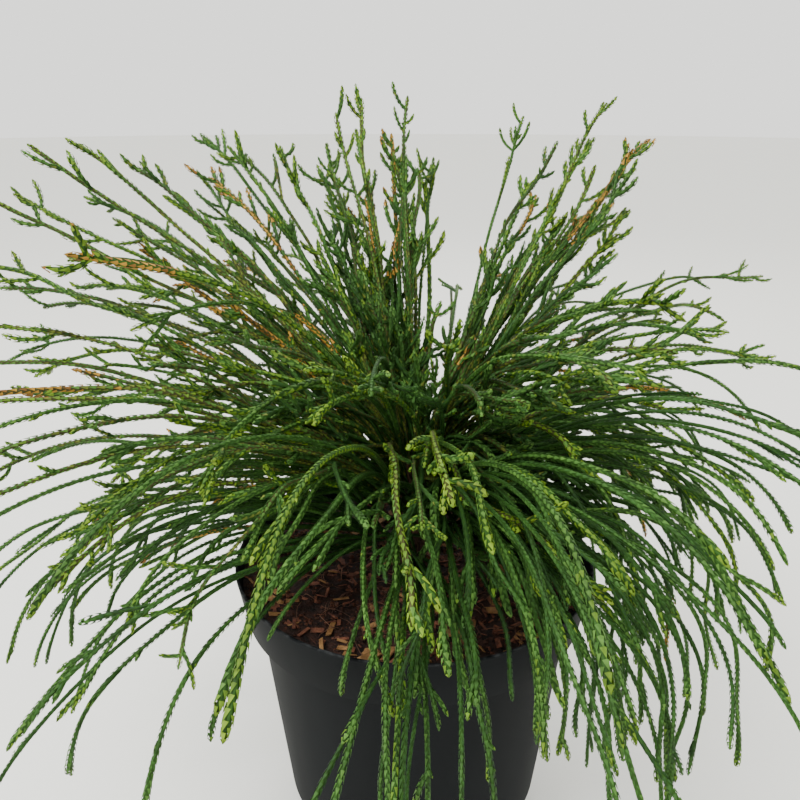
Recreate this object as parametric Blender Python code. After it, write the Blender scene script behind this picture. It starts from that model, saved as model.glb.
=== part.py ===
"""Whipcord conifer in its nursery pot.

Cord-like shoots grow in three tiers from a short stem: a drooping skirt, an arching middle
and an upright top.  Each tier is cut into sectors, and each sector's shoots are one fused
solid.  Metres, +Z up; the origin is the centre of the pot's flat underside, +Y is the back.
"""
import math
import random

import bmesh
import bpy
import numpy as np
from mathutils import Matrix, Vector

GAP = 0.0003                    # clearance between pieces that touch on the real plant

# pot: a 19 cm nursery pot with a collar that stands out round its top
POT_HEIGHT = 0.166
RIM_RADIUS = 0.095
COLLAR_HEIGHT = 0.0265
COLLAR_FOOT_RADIUS = 0.0902
BODY_TOP_RADIUS = 0.0839
SHOULDER_HEIGHT = 0.023         # where the narrow foot meets the body
SHOULDER_RADIUS = 0.0712
FOOT_RADIUS = 0.0660
FOOT_CHAMFER = 0.0030
SHOULDER_STEP = 0.0012          # how far the foot stands in under the shoulder
WALL = 0.0014
FLOOR = 0.0020
POT_SIDES = 36
DRAIN_HOLES = 6
DRAIN_RADIUS = 0.0045
DRAIN_CIRCLE = 0.052
DRAIN_SIDES = 8
DRILL_LENGTH = 0.012

# potting mix
SOIL_DEPTH_BELOW_RIM = 0.0085
SOIL_TOP = POT_HEIGHT - SOIL_DEPTH_BELOW_RIM
SOIL_RELIEF = 0.0013            # height of its bumps
SOIL_PATCH = 0.014              # radius of the level patch that the stem stands on
SOIL_RINGS = 3
SOIL_SEED = 41

# stem
TRUNK_TOP = 0.212
TRUNK_FOOT_RADIUS = 0.0078
TRUNK_WAIST_RADIUS = 0.0046
TRUNK_TIP_RADIUS = 0.0026
FLARE_HEIGHT = 0.012
FLARE_LOBES = 5
LOBE_DEPTH = 0.16
TRUNK_LEAN = 0.0012
TRUNK_SIDES = 15
TRUNK_RINGS = 6
RING_CROWDING = 1.4              # above 1 the rings stand closer near the foot

# boughs, and the stem that carries on from each bough's tip inside its mass
BOUGH_SIDES = 6
BOUGH_RINGS = 3
BOUGH_FOOT_RADIUS = 0.0014
BOUGH_TIP_RADIUS = 0.0012
BOUGH_BOW = 0.0010
STEM_LENGTH = 0.016
STEM_TIP_RADIUS = 0.0010

# shoots
SHOOT_STEPS = 8
BEND_POWER = 1.35               # how late along its length a shoot bends
STEEPEST = -86.0                # lift that no drooping shoot passes
SWAY = 10.0
SECTOR_USED = 0.85              # share of its sector that a mass's shoots head into
STEM_USED = (0.2, 0.9)          # stretch of its stem that they leave from
SHOOT_ROOT_RADIUS = 0.0006
SHOOT_NECK_RADIUS = 0.0009       # one step along, where the scale leaves begin
SHOOT_RADIUS = 0.0016
SHOOT_TIP_RADIUS = 0.0007
SCALE_STEP = 0.14               # how far scale leaves stand out, as a share of the radius
FORK_CHANCE = 0.4
FORK_STEPS = 3
FORK_LENGTH = (0.022, 0.042)
FORK_SPREAD = (18.0, 34.0)
FORK_FIRST = 4                  # steps before the shoot's tip where a fork may leave
FORK_RISE = 0.4                 # lift it gains for each degree that it turns aside
FORK_DROOP = 10.0
SPACE_MARGIN = 0.002
POT_MARGIN = 0.004
GROUND_MARGIN = 0.014
ROOT_STEPS = 2                  # steps from the root where a mass's shoots may still meet
MOST_TRIES = 800

# Each tier: height of its boughs on the trunk, how much higher every other one leaves it,
# their lift, length and azimuths, and the shoots per mass.  A row of its habits holds an
# azimuth and the shoots' lift, length and droop there, each from least to most.
TIERS = {
    "low": {
        "height": 0.170, "stagger": 0.003, "bough_lift": 20.0, "bough": 0.034,
        "shoots": 7,
        "azimuths": [45.0 * k for k in range(8)],
        "habits": [
            (15, 8, 36, 0.165, 0.240, 88, 130),
            (100, 8, 36, 0.160, 0.240, 85, 120),
            (175, 8, 32, 0.185, 0.250, 60, 100),
            (215, 4, 26, 0.170, 0.245, 54, 96),
            (260, 10, 38, 0.135, 0.220, 95, 140),
            (315, 18, 50, 0.150, 0.225, 128, 172),
            (345, 14, 44, 0.160, 0.230, 115, 155),
        ],
    },
    "mid": {
        "height": 0.184, "stagger": 0.0035, "bough_lift": 44.0, "bough": 0.032,
        "shoots": 7,
        "azimuths": [22.5 + 45.0 * k for k in range(8)],
        "habits": [
            (15, 27, 50, 0.175, 0.240, 50, 105),
            (90, 28, 50, 0.150, 0.225, 38, 88),
            (170, 32, 52, 0.200, 0.255, 24, 64),
            (215, 24, 46, 0.175, 0.250, 48, 92),
            (270, 24, 50, 0.140, 0.240, 82, 126),
            (325, 24, 52, 0.140, 0.215, 95, 148),
        ],
    },
    "top": {
        "height": 0.197, "stagger": 0.007, "bough_lift": 62.0, "bough": 0.027,
        "shoots": 7,
        "azimuths": [44.0, 90.0, 115.0, 142.0, 169.0, 237.0, 307.0],
        "habits": [
            (44, 47, 60, 0.165, 0.210, 4, 24),
            (95, 58, 80, 0.130, 0.170, 0, 18),
            (130, 48, 68, 0.155, 0.205, 4, 28),
            (155, 40, 58, 0.175, 0.230, 8, 36),
            (190, 30, 52, 0.160, 0.235, 24, 66),
            (300, 47, 75, 0.085, 0.145, 55, 108),
        ],
    },
}
# Where the crown is thicker or thinner: middle azimuth, half width and change.
DENSITY = ((300.0, 50.0, 0.35), (236.0, 34.0, -0.55), (46.0, 18.0, 0.7))
# The roof over a tier is drawn as one shoot: start radius and height, lift, length, droop.
ROOFS = {"low": (0.030, 0.190, 42, 0.35, 122), "mid": (0.020, 0.214, 54, 0.35, 98)}
ROOF_STEPS = 40
ROOF_SLOPE_INSIDE = 0.9
FRONT = 297.0                   # azimuth in degrees where they hang lowest
FRONT_DROP = 0.055              # how far the roofs hang lower in front
FRONT_DROP_RADIUS = 0.2         # this far from the axis
FRONT_WIDTH = 85.0
WIDEST = 38.0                   # widest half angle of a mass, where its neighbours are far

COLOURS = {
    "pot": ((0.030, 0.031, 0.033), 0.48),
    "soil": ((0.070, 0.034, 0.018), 0.95),
    "bark": ((0.110, 0.062, 0.038), 0.90),
    "foliage": ((0.055, 0.120, 0.022), 0.60),
}


def clear_scene():
    for obj in list(bpy.data.objects):
        bpy.data.objects.remove(obj, do_unlink=True)


def material(kind):
    found = bpy.data.materials.get(kind)
    if found:
        return found
    made = bpy.data.materials.new(kind)
    made.use_nodes = True
    shader = made.node_tree.nodes["Principled BSDF"]
    colour, roughness = COLOURS[kind]
    shader.inputs["Base Color"].default_value = (*colour, 1.0)
    shader.inputs["Roughness"].default_value = roughness
    shader.inputs["Metallic"].default_value = 0.0
    return made


def add_object(name, bm, kind, smooth_angle=None):
    """Turns a bmesh into a named object with its material."""
    bmesh.ops.recalc_face_normals(bm, faces=bm.faces)
    mesh = bpy.data.meshes.new(name)
    bm.to_mesh(mesh)
    bm.free()
    mesh.materials.append(material(kind))
    if smooth_angle is not None:
        mesh.shade_smooth()
        mesh.set_sharp_from_angle(angle=math.radians(smooth_angle))
    obj = bpy.data.objects.new(name, mesh)
    bpy.context.scene.collection.objects.link(obj)
    return obj


def apply_modifiers(obj):
    """Keeps the evaluated mesh and drops the modifiers that made it."""
    graph = bpy.context.evaluated_depsgraph_get()
    mesh = bpy.data.meshes.new_from_object(obj.evaluated_get(graph))
    mesh.name = obj.name
    obj.modifiers.clear()
    obj.data = mesh


def boolean(obj, operation, other=None, collection=None):
    mod = obj.modifiers.new(operation.lower(), "BOOLEAN")
    mod.operation = operation
    mod.solver = "EXACT"
    if collection:
        mod.operand_type = "COLLECTION"
        mod.collection = collection
    else:
        mod.object = other
    apply_modifiers(obj)


def keep_main_body(obj):
    """Drops loose scraps and fills sealed hollows: only the largest shell stays."""
    bm = bmesh.new()
    bm.from_mesh(obj.data)
    unseen = set(bm.faces)
    shells = []
    while unseen:
        front = [unseen.pop()]
        shell = list(front)
        while front:
            face = front.pop()
            for edge in face.edges:
                for other in edge.link_faces:
                    if other in unseen and len(edge.link_faces) == 2:
                        unseen.remove(other)
                        front.append(other)
                        shell.append(other)
        shells.append(shell)
    shells.sort(key=len, reverse=True)
    for shell in shells[1:]:
        bmesh.ops.delete(bm, geom=shell, context="FACES")
    loose = [v for v in bm.verts if not v.link_faces]
    bmesh.ops.delete(bm, geom=loose, context="VERTS")
    bmesh.ops.triangulate(bm, faces=bm.faces)
    bm.to_mesh(obj.data)
    bm.free()


def turned(profile, sides):
    """A solid of revolution from an open profile that starts and ends on the axis."""
    bm = bmesh.new()
    verts = [bm.verts.new((radius, 0.0, height)) for radius, height in profile]
    edges = [bm.edges.new(pair) for pair in zip(verts, verts[1:])]
    bmesh.ops.spin(bm, geom=verts + edges, cent=(0, 0, 0), axis=(0, 0, 1),
                   angle=math.tau, steps=sides, use_merge=True)
    bmesh.ops.remove_doubles(bm, verts=bm.verts, dist=1e-6)
    return bm


# ---------------------------------------------------------------- pot and potting mix

def wall_profile():
    """The pot's outside above its underside, bottom to top."""
    collar = POT_HEIGHT - COLLAR_HEIGHT
    return [(FOOT_RADIUS - FOOT_CHAMFER, 0.0), (FOOT_RADIUS, FOOT_CHAMFER),
            (SHOULDER_RADIUS - SHOULDER_STEP, SHOULDER_HEIGHT),
            (SHOULDER_RADIUS, SHOULDER_HEIGHT + FOOT_CHAMFER),
            (BODY_TOP_RADIUS, collar), (COLLAR_FOOT_RADIUS, collar),
            (RIM_RADIUS, POT_HEIGHT)]


def lining_profile(inset):
    """The inside of the wall, or a line further in, bottom to top."""
    offset = WALL + inset
    ledge = POT_HEIGHT - COLLAR_HEIGHT + WALL + inset
    return [(FOOT_RADIUS - offset, FLOOR + inset),
            (SHOULDER_RADIUS - SHOULDER_STEP - offset, SHOULDER_HEIGHT),
            (SHOULDER_RADIUS - offset, SHOULDER_HEIGHT + FOOT_CHAMFER),
            (BODY_TOP_RADIUS - offset, ledge), (COLLAR_FOOT_RADIUS - offset, ledge),
            (RIM_RADIUS - offset, POT_HEIGHT)]


def make_pot():
    outside = [(0.0, 0.0)] + wall_profile()
    inside = list(reversed(lining_profile(0.0))) + [(0.0, FLOOR)]
    pot = add_object("pot", turned(outside + inside, POT_SIDES), "pot", smooth_angle=30)
    drill = bmesh.new()
    for k in range(DRAIN_HOLES):
        turn = math.tau * (k + 0.5) / DRAIN_HOLES
        place = Matrix.Rotation(turn, 4, "Z") @ Matrix.Translation((DRAIN_CIRCLE, 0, 0))
        bmesh.ops.create_cone(drill, cap_ends=True, segments=DRAIN_SIDES, radius1=DRAIN_RADIUS,
                              radius2=DRAIN_RADIUS, depth=DRILL_LENGTH, matrix=place)
    cutter = add_object("drain_drill", drill, "pot")
    boolean(pot, "DIFFERENCE", other=cutter)
    bpy.data.objects.remove(cutter, do_unlink=True)
    return pot


def make_soil():
    rng = random.Random(SOIL_SEED)
    edge = lining_profile(GAP)
    below, rim = edge[-2], edge[-1]
    share = (SOIL_TOP - below[1]) / (rim[1] - below[1])
    top_radius = below[0] + (rim[0] - below[0]) * share
    rings = [SOIL_PATCH + (top_radius - SOIL_PATCH) * k / SOIL_RINGS
             for k in range(SOIL_RINGS, -1, -1)]
    profile = [(0.0, FLOOR + GAP)] + edge[:-1] + [(r, SOIL_TOP) for r in rings]
    bm = turned(profile + [(0.0, SOIL_TOP)], POT_SIDES)
    for vert in bm.verts:
        radius = math.hypot(vert.co.x, vert.co.y)
        if vert.co.z > SOIL_TOP - GAP and SOIL_PATCH + GAP < radius < top_radius - GAP:
            vert.co.z += SOIL_RELIEF * rng.uniform(-1.0, 1.0)
    tops = [f for f in bm.faces if all(v.co.z > SOIL_TOP - 2 * SOIL_RELIEF for v in f.verts)]
    bmesh.ops.triangulate(bm, faces=tops)
    return add_object("potting_mix", bm, "soil")


# ---------------------------------------------------------------- stem and boughs

def trunk_centre(height):
    """The stem's axis: a slight lean with a bend back towards its tip."""
    share = (height - SOIL_TOP) / (TRUNK_TOP - SOIL_TOP)
    return Vector((TRUNK_LEAN * math.sin(math.pi * share),
                   -TRUNK_LEAN * math.sin(math.tau * share) / 2, height))


def trunk_radius(height, turn):
    """Taper and root flare."""
    rise = height - SOIL_TOP
    share = rise / (TRUNK_TOP - SOIL_TOP)
    shaft = TRUNK_WAIST_RADIUS + (TRUNK_TIP_RADIUS - TRUNK_WAIST_RADIUS) * share
    flare = max(0.0, 1.0 - rise / FLARE_HEIGHT) ** 2
    lobes = 1.0 + LOBE_DEPTH * flare * math.cos(FLARE_LOBES * turn)
    return (shaft + (TRUNK_FOOT_RADIUS - TRUNK_WAIST_RADIUS) * flare) * lobes


def extrude_rings(bm, sides, count, corner):
    """A closed solid of count polygons in a row; corner(k, turn) places their corners."""
    ring = bmesh.ops.create_circle(bm, cap_ends=True, segments=sides, radius=1.0)["verts"]
    cap = ring[0].link_faces[0]
    turns = [math.atan2(v.co.y, v.co.x) for v in cap.verts]
    for k in range(count):
        if k:
            cap = bmesh.ops.extrude_discrete_faces(bm, faces=[cap])["faces"][0]
        for vert, turn in zip(cap.verts, turns):
            vert.co = corner(k, turn)
    bmesh.ops.holes_fill(bm, edges=[e for e in bm.edges if e.is_boundary])


def trunk_solid(grow=0.0):
    """The stem, or the same shape grown outwards as a cutter."""
    foot = SOIL_TOP + GAP - grow

    def corner(level, turn):
        share = (level / TRUNK_RINGS) ** RING_CROWDING
        height = foot + (TRUNK_TOP + grow - foot) * share
        radius = trunk_radius(max(height, SOIL_TOP), turn) + grow
        return trunk_centre(height) + Vector((math.cos(turn), math.sin(turn), 0)) * radius

    bm = bmesh.new()
    extrude_rings(bm, TRUNK_SIDES, TRUNK_RINGS + 1, corner)
    return bm


def direction(azimuth, lift):
    a, e = math.radians(azimuth), math.radians(lift)
    return Vector((math.cos(e) * math.cos(a), math.cos(e) * math.sin(a), math.sin(e)))


def bough_line(tier, index):
    """Where a bough starts inside the stem, its tip and its direction."""
    sizes = TIERS[tier]
    height = sizes["height"] + sizes["stagger"] * (index % 2)
    start = trunk_centre(height)
    along = direction(sizes["azimuths"][index], sizes["bough_lift"])
    return start, start + along * sizes["bough"], along


def rings_along(bm, places, radii, sides, turn_step=0.0):
    """A limb through places, which are each a centre and two axes across it."""
    def corner(k, turn):
        centre, side, up = places[k]
        angle = turn + turn_step * k
        return centre + (side * math.cos(angle) + up * math.sin(angle)) * radii[k]

    extrude_rings(bm, sides, len(places), corner)


def square_axes(along, azimuth):
    """Two axes across a limb that runs in the upright plane of its azimuth."""
    flat = Vector((-math.sin(math.radians(azimuth)), math.cos(math.radians(azimuth)), 0.0))
    side = (flat - along * flat.dot(along)).normalized()
    return side, along.cross(side)


def make_bough(tier, index, cutter):
    start, tip, along = bough_line(tier, index)
    azimuth = TIERS[tier]["azimuths"][index]
    side, up = square_axes(along, azimuth)
    places, radii = [], []
    for k in range(BOUGH_RINGS + 1):
        share = k / BOUGH_RINGS
        bow = side * BOUGH_BOW * math.sin(math.pi * share) ** 2 * (1 if index % 2 else -1)
        places.append((start.lerp(tip, share) + bow, side, up))
        radii.append(BOUGH_FOOT_RADIUS + (BOUGH_TIP_RADIUS - BOUGH_FOOT_RADIUS) * share)
    bm = bmesh.new()
    rings_along(bm, places, radii, BOUGH_SIDES)
    bough = add_object(f"bough_{tier}_{index + 1}", bm, "bark", smooth_angle=50)
    boolean(bough, "DIFFERENCE", other=cutter)
    keep_main_body(bough)
    return bough


# ---------------------------------------------------------------- growth of the shoots

def habit(tier, azimuth):
    """The ranges for a shoot heading that way, between its two nearest rows."""
    rows = TIERS[tier]["habits"]
    for (start, *here), (end, *there) in zip(rows, rows[1:] + rows[:1]):
        past, span = (azimuth - start) % 360.0, (end - start) % 360.0
        if past < span:
            return [a + (b - a) * past / span for a, b in zip(here, there)]


def shoot_path(start, azimuth, lift, length, droop, sway, steps):
    """A shoot leaves at its lift, bends down under its weight and sways a little."""
    points = [np.array(start, float)]
    for k in range(steps):
        share = (k + 0.5) / steps
        rise = max(lift - droop * share ** BEND_POWER, STEEPEST)
        heading = direction(azimuth + sway * share, rise)
        points.append(points[-1] + np.array(heading) * length / steps)
    return np.array(points)


def roof_curve(tier):
    radius, height, lift, length, droop = ROOFS[tier]
    points = shoot_path((radius, 0.0, height), 0.0, lift, length, droop, 0.0, ROOF_STEPS)
    return points[:, 0], points[:, 2]


ROOF_CURVES = {tier: roof_curve(tier) for tier in ROOFS}


def roof_height(tier, point):
    """Height of the surface between a tier and the next one up, over or under a point."""
    radius = math.hypot(point[0], point[1])
    azimuth = math.degrees(math.atan2(point[1], point[0]))
    off = (azimuth - FRONT + 180.0) % 360.0 - 180.0
    drop = 0.0
    if abs(off) < FRONT_WIDTH:
        drop = FRONT_DROP * math.cos(math.radians(off * 90.0 / FRONT_WIDTH)) ** 2
        drop *= (radius / FRONT_DROP_RADIUS) ** 2
    radii, heights = ROOF_CURVES[tier]
    if radius < radii[0]:
        return heights[0] - (radii[0] - radius) * ROOF_SLOPE_INSIDE - drop
    if radius > radii[-1]:
        return -1.0
    return float(np.interp(radius, radii, heights)) - drop


def half_angles(tier):
    """Half the angle that each mass of a tier may fill, up to its nearer neighbour."""
    azimuths = TIERS[tier]["azimuths"]
    count = len(azimuths)
    result = []
    for k, azimuth in enumerate(azimuths):
        ahead = (azimuths[(k + 1) % count] - azimuth) % 360.0
        behind = (azimuth - azimuths[k - 1]) % 360.0
        result.append(min(ahead / 2, behind / 2, WIDEST))
    return result


def clear_of_pot(point):
    radius = math.hypot(point[0], point[1])
    if point[2] < GROUND_MARGIN:
        return False
    if radius < RIM_RADIUS + POT_MARGIN and point[2] < POT_HEIGHT + POT_MARGIN:
        return radius < RIM_RADIUS - 2 * POT_MARGIN and point[2] > SOIL_TOP + POT_MARGIN
    return True


def in_space(tier, azimuth, spread, points):
    """Whether a path keeps between its tier's roofs and inside its sector."""
    for point in points:
        radius = math.hypot(point[0], point[1])
        heading = math.degrees(math.atan2(point[1], point[0]))
        off = abs((heading - azimuth + 180.0) % 360.0 - 180.0)
        if off >= spread or radius * math.sin(math.radians(spread - off)) < SPACE_MARGIN:
            return False
        if tier in ROOFS and point[2] > roof_height(tier, point) - SPACE_MARGIN:
            return False
        below = {"mid": "low", "top": "mid"}.get(tier)
        if below and point[2] < roof_height(below, point) + SPACE_MARGIN:
            return False
        if not clear_of_pot(point):
            return False
    return True


def least_gap(path_a, starts, ends):
    """Shortest distance from any stretch of one path to a set of straight stretches."""
    p, d = path_a[:-1, None, :], (path_a[1:] - path_a[:-1])[:, None, :]
    q, e = starts[None, :, :], (ends - starts)[None, :, :]
    r = p - q
    dd, ee, de = (d * d).sum(-1), (e * e).sum(-1), (d * e).sum(-1)
    er, dr = (e * r).sum(-1), (d * r).sum(-1)
    cross = np.maximum(dd * ee - de * de, 1e-18)
    s = np.clip((de * er - dr * ee) / cross, 0.0, 1.0)
    t = np.clip((de * s + er) / ee, 0.0, 1.0)
    s = np.clip((de * t - dr) / dd, 0.0, 1.0)
    apart = p + d * s[..., None] - q - e * t[..., None]
    return float(np.sqrt((apart ** 2).sum(-1)).min())


class Obstacles:
    """The stretches that other masses' shoots, the boughs and the trunk fill."""

    def __init__(self):
        self.starts, self.ends, self.owners = [], [], []

    def add(self, path, owner):
        self.starts.extend(path[:-1])
        self.ends.extend(path[1:])
        self.owners.extend([owner] * (len(path) - 1))

    def clear(self, path, owner, distance, own=False):
        """Whether a path keeps its distance from all others, or from its own mass's."""
        chosen = [k for k, name in enumerate(self.owners) if (name == owner) == own]
        if not chosen:
            return True
        starts, ends = np.array(self.starts)[chosen], np.array(self.ends)[chosen]
        return least_gap(path, starts, ends) > distance


def shoot_count(tier, azimuth):
    """The shoots of a mass: more to the right of the front, fewer to its left."""
    share = 1.0
    for middle, half_width, change in DENSITY:
        off = abs((azimuth - middle + 180.0) % 360.0 - 180.0)
        if off < half_width:
            share += change * math.cos(math.radians(off * 90.0 / half_width))
    return round(TIERS[tier]["shoots"] * share)


def limbs():
    """The trunk, and each bough with the stem that carries it on, as obstacles."""
    found = Obstacles()
    found.add(np.array([trunk_centre(SOIL_TOP), trunk_centre(TRUNK_TOP)], float), "trunk")
    for tier in TIERS:
        for index in range(len(TIERS[tier]["azimuths"])):
            start, tip, along = bough_line(tier, index)
            bough = np.array([start, tip], float)
            stem = np.array([tip + along * GAP, tip + along * STEM_LENGTH], float)
            found.add(bough, f"bough {tier} {index}")
            found.add(stem, f"{tier} {index}")
    return found


def grow_shoot(rng, tier, index, spread):
    """One candidate: a long shoot, and sometimes a short fork near its tip."""
    azimuth = TIERS[tier]["azimuths"][index]
    lift0, lift1, length0, length1, droop0, droop1 = habit(tier, azimuth)
    tip, along = bough_line(tier, index)[1:]
    heading = azimuth + rng.uniform(-1.0, 1.0) * spread * SECTOR_USED
    lift, length = rng.uniform(lift0, lift1), rng.uniform(length0, length1)
    droop, sway = rng.uniform(droop0, droop1), rng.uniform(-SWAY, SWAY)
    start = tip + along * STEM_LENGTH * rng.uniform(*STEM_USED)
    main = shoot_path(start, heading, lift, length, droop, sway, SHOOT_STEPS)
    fork = None
    if rng.random() < FORK_CHANCE:
        joint = rng.randrange(SHOOT_STEPS - FORK_FIRST, SHOOT_STEPS - 1)
        run = main[joint + 1] - main[joint]
        rise = math.degrees(math.asin(run[2] / np.linalg.norm(run)))
        turn = rng.uniform(*FORK_SPREAD) * rng.choice((-1, 1))
        fork_heading = math.degrees(math.atan2(run[1], run[0])) + turn
        fork = shoot_path(main[joint], fork_heading, rise + FORK_RISE * abs(turn),
                          rng.uniform(*FORK_LENGTH), FORK_DROOP, 0.0, FORK_STEPS)
    return heading, main, fork


def grow_crown():
    """All shoots, as (tier, index, heading, main path, fork path)."""
    taken, own = limbs(), Obstacles()
    apart = 2 * SHOOT_RADIUS * (1 + SCALE_STEP) + GAP
    free = slice(ROOT_STEPS, None)
    crown = []
    for tier in TIERS:
        spreads = half_angles(tier)
        for index, azimuth in enumerate(TIERS[tier]["azimuths"]):
            rng = random.Random(f"{tier} {index}")
            owner, kept = f"{tier} {index}", 0
            wanted = shoot_count(tier, azimuth)
            for _ in range(MOST_TRIES):
                heading, main, fork = grow_shoot(rng, tier, index, spreads[index])
                forks = [] if fork is None else [fork]
                outer = [main[free], *forks]
                if not all(in_space(tier, azimuth, spreads[index], path) for path in outer):
                    continue
                if not all(taken.clear(path, owner, apart) for path in (main, *forks)):
                    continue
                if not all(own.clear(path, owner, apart, own=True) for path in outer):
                    continue
                crown.append((tier, index, heading, main, fork))
                for path in (main, *forks):
                    taken.add(path, owner)
                for path in outer:
                    own.add(path, owner)
                kept += 1
                if kept == wanted:
                    break
    return crown


def shoot_radii(steps, root):
    """Thin at the root, full along the shoot, with scale leaves stepped in and out."""
    radii = [SHOOT_RADIUS * (1 - SCALE_STEP * (-1) ** k) for k in range(steps + 1)]
    radii[:2] = root
    radii[-1] = SHOOT_TIP_RADIUS
    return radii


def cord(name, path, heading, root):
    """A three-sided cord along a path, each ring turned by 60 degrees to the last."""
    points = [Vector(p) for p in path]
    places = []
    for k, point in enumerate(points):
        along = (points[min(k + 1, len(points) - 1)] - points[max(k - 1, 0)]).normalized()
        places.append((point, *square_axes(along, heading)))
    bm = bmesh.new()
    rings_along(bm, places, shoot_radii(len(points) - 1, root), 3, math.radians(60))
    bmesh.ops.triangulate(bm, faces=bm.faces, quad_method="SHORT_EDGE")
    return add_object(name, bm, "foliage")


def make_mass(tier, index, shoots):
    """A mass of shoots: the stem they branch from and every shoot, fused."""
    name = f"shoots_{tier}_{index + 1}"
    tip, along = bough_line(tier, index)[1:]
    side, up = square_axes(along, TIERS[tier]["azimuths"][index])
    places = [(tip + along * GAP, side, up), (tip + along * STEM_LENGTH, side, up)]
    bm = bmesh.new()
    rings_along(bm, places, (BOUGH_TIP_RADIUS, STEM_TIP_RADIUS), BOUGH_SIDES)
    mass = add_object(name, bm, "foliage")
    pieces = bpy.data.collections.new(name + "_pieces")
    bpy.context.scene.collection.children.link(pieces)
    for _, _, heading, main, fork in shoots:
        cords = [cord("shoot", main, heading, (SHOOT_ROOT_RADIUS, SHOOT_NECK_RADIUS))]
        if fork is not None:
            cords.append(cord("fork", fork, heading, (SHOOT_NECK_RADIUS, SHOOT_RADIUS)))
        for obj in cords:
            bpy.context.scene.collection.objects.unlink(obj)
            pieces.objects.link(obj)
    boolean(mass, "UNION", collection=pieces)
    for obj in list(pieces.objects):
        bpy.data.objects.remove(obj, do_unlink=True)
    bpy.data.collections.remove(pieces)
    keep_main_body(mass)
    return mass


def main():
    clear_scene()
    make_pot()
    make_soil()
    add_object("trunk", trunk_solid(), "bark", smooth_angle=50)
    cutter = add_object("trunk_cutter", trunk_solid(GAP), "bark")
    crown = grow_crown()
    for tier in TIERS:
        for index in range(len(TIERS[tier]["azimuths"])):
            make_bough(tier, index, cutter)
            make_mass(tier, index, [s for s in crown if s[:2] == (tier, index)])
    bpy.data.objects.remove(cutter, do_unlink=True)


main()
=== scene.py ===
import math
import random

import bmesh
import bpy
import numpy as np
from mathutils import Matrix, Vector, noise


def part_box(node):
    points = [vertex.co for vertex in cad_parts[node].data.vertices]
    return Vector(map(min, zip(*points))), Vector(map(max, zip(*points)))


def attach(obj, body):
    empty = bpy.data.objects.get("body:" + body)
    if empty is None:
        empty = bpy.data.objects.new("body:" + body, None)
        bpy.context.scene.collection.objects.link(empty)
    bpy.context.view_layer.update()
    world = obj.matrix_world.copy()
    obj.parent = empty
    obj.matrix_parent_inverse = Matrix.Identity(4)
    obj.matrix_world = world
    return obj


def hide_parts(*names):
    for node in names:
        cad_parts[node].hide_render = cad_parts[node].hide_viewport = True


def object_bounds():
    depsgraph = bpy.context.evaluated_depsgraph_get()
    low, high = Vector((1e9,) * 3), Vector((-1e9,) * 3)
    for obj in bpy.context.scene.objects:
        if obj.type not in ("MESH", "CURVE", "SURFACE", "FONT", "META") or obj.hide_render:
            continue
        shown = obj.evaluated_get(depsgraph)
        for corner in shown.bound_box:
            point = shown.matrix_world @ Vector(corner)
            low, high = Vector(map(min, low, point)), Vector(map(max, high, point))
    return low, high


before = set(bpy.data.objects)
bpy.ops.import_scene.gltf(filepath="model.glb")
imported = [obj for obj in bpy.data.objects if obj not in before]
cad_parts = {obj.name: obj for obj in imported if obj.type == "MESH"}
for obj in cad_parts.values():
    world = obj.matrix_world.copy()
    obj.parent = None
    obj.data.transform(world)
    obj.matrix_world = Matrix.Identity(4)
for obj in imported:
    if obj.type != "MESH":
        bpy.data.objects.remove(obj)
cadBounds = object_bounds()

nodeNames = set(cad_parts)


class Value:  # a node's output that sums can be written with
    def __init__(self, paint, socket):
        self.paint, self.socket = paint, socket

    def sum(self, operation, a, b):
        return self.paint.node("ShaderNodeMath", {"operation": operation}, {0: a, 1: b})

    def __add__(self, other):
        return self.sum("ADD", self, other)

    def __radd__(self, other):
        return self.sum("ADD", other, self)

    def __sub__(self, other):
        return self.sum("SUBTRACT", self, other)

    def __rsub__(self, other):
        return self.sum("SUBTRACT", other, self)

    def __mul__(self, other):
        return self.sum("MULTIPLY", self, other)

    def __rmul__(self, other):
        return self.sum("MULTIPLY", other, self)


class Paint:  # one material and its nodes
    def __init__(self, name):
        self.material = bpy.data.materials.new(name)
        self.material.use_nodes = True
        self.tree = self.material.node_tree
        self.shader = self.tree.nodes["Principled BSDF"]

    def node(self, kind, settings=(), sockets=(), output=0):
        made = self.tree.nodes.new(kind)
        for key, value in dict(settings).items():
            if key == "stops":
                ramp = made.color_ramp.elements
                while len(ramp) < len(value):
                    ramp.new(0.5)
                for stop, (place, shade) in zip(ramp, value):
                    stop.position = place
                    stop.color = (shade, shade, shade, 1.0)
            else:
                setattr(made, key, value)
        for key, value in dict(sockets).items():
            self.feed(made.inputs[key], value)
        return Value(self, made.outputs[output])

    def feed(self, socket, value):
        if isinstance(value, Value):
            self.tree.links.new(value.socket, socket)
        else:
            socket.default_value = value

    def place(self, scale=(1, 1, 1)):
        coords = self.node("ShaderNodeTexCoord", output="Object")
        return self.node("ShaderNodeMapping", {}, {"Vector": coords, "Scale": scale})

    def speckle(self, scale, detail=2.0, stretch=(1, 1, 1)):
        return self.node("ShaderNodeTexNoise", {},
                         {"Vector": self.place(stretch), "Scale": scale, "Detail": detail})

    def steps(self, value, low, high):  # 0 below low, 1 above high
        return self.node("ShaderNodeValToRGB", {"stops": [(low, 0.0), (high, 1.0)]},
                         {"Fac": value})

    def mix(self, factor, colourA, colourB):
        return self.node("ShaderNodeMix", {"data_type": "RGBA"},
                         {0: factor, 6: rgba(colourA), 7: rgba(colourB)}, 2)

    def bump(self, height, distance, strength=1.0):
        return self.node("ShaderNodeBump", {},
                         {"Height": height, "Distance": distance, "Strength": strength})

    def finish(self, sockets):
        for key, value in sockets.items():
            self.feed(self.shader.inputs[key], value)
        return self.material


def rgba(colour):
    return colour if isinstance(colour, Value) else (*colour, 1.0)


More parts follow.
